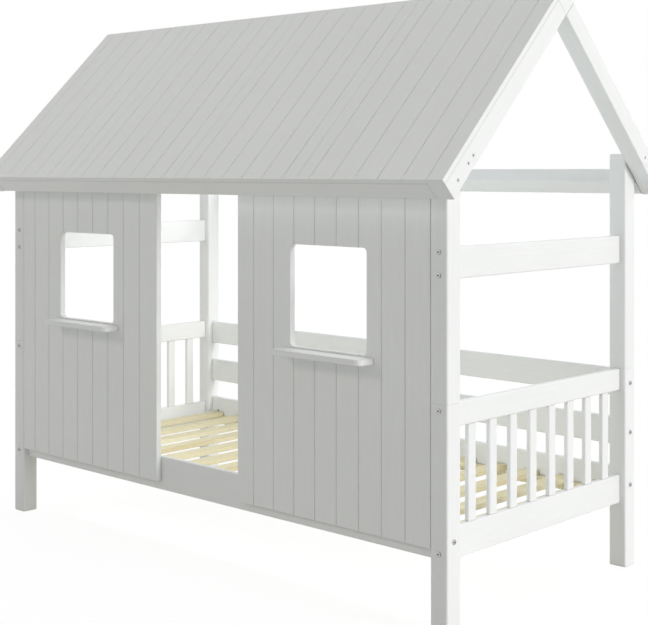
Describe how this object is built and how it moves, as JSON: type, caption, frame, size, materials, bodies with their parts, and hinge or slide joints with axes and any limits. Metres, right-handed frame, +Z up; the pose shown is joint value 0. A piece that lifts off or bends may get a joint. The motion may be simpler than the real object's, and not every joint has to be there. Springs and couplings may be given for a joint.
{
  "type": "house frame bed",
  "caption": "Child's bed shaped like a small house: slatted base between square posts, clad front wall with doorway and windows, half-boarded pitched roof.",
  "frame": {"origin": "on the floor, under the middle of the whole bed", "axes": "+X along the bed to the right as seen from the doorway, +Y to the back, +Z up"},
  "size_m": [2.2, 1.1744, 1.8432],
  "materials": {
    "white_paint": "satin white paint over pine, with a faint grain",
    "pine": "bare planed pine",
    "beech": "bare beech dowel",
    "steel": "zinc-plated steel"
  },
  "bodies": {
    "root": {"lower_post_front_left": "white_paint", "lower_post_front_right": "white_paint", "lower_post_back_left": "white_paint", "lower_post_back_right": "white_paint", "upper_post_front_left": "white_paint", "upper_post_front_right": "white_paint", "upper_post_back_left": "white_paint", "upper_post_back_right": "white_paint", "end_rail_bottom_left": "white_paint", "end_rail_bottom_right": "white_paint", "end_rail_top_left": "white_paint", "end_rail_top_right": "white_paint", "end_rail_upper_left": "white_paint", "end_rail_upper_right": "white_paint", "spindles_left": "white_paint", "spindles_right": "white_paint", "side_rail_front": "white_paint", "side_rail_back": "white_paint", "guard_board_middle": "white_paint", "guard_board_top": "white_paint", "wall_panel_left": "white_paint", "wall_panel_right": "white_paint", "window_shelf_left": "white_paint", "window_shelf_right": "white_paint", "front_top_rail": "white_paint", "ridge_beam": "white_paint", "eave_beam_front": "white_paint", "eave_beam_back": "white_paint", "rafter_front_left": "white_paint", "rafter_front_right": "white_paint", "rafter_back_left": "white_paint", "rafter_back_right": "white_paint", "roof_panel_1": "white_paint", "roof_panel_2": "white_paint", "roof_panel_3": "white_paint", "roof_panel_4": "white_paint", "slat_support_front": "white_paint", "slat_support_back": "white_paint", "slat_01": "pine", "slat_02": "pine", "slat_03": "pine", "slat_04": "pine", "slat_05": "pine", "slat_06": "pine", "slat_07": "pine", "slat_08": "pine", "slat_09": "pine", "slat_10": "pine", "slat_11": "pine", "slat_12": "pine", "slat_13": "pine", "slat_14": "pine", "slat_15": "pine", "frame_bolts": "steel", "barrel_nuts": "steel", "dowels": "beech", "rafter_screws": "steel", "roof_board_screws": "steel", "wood_screws": "steel"}
  },
  "joints": []
}
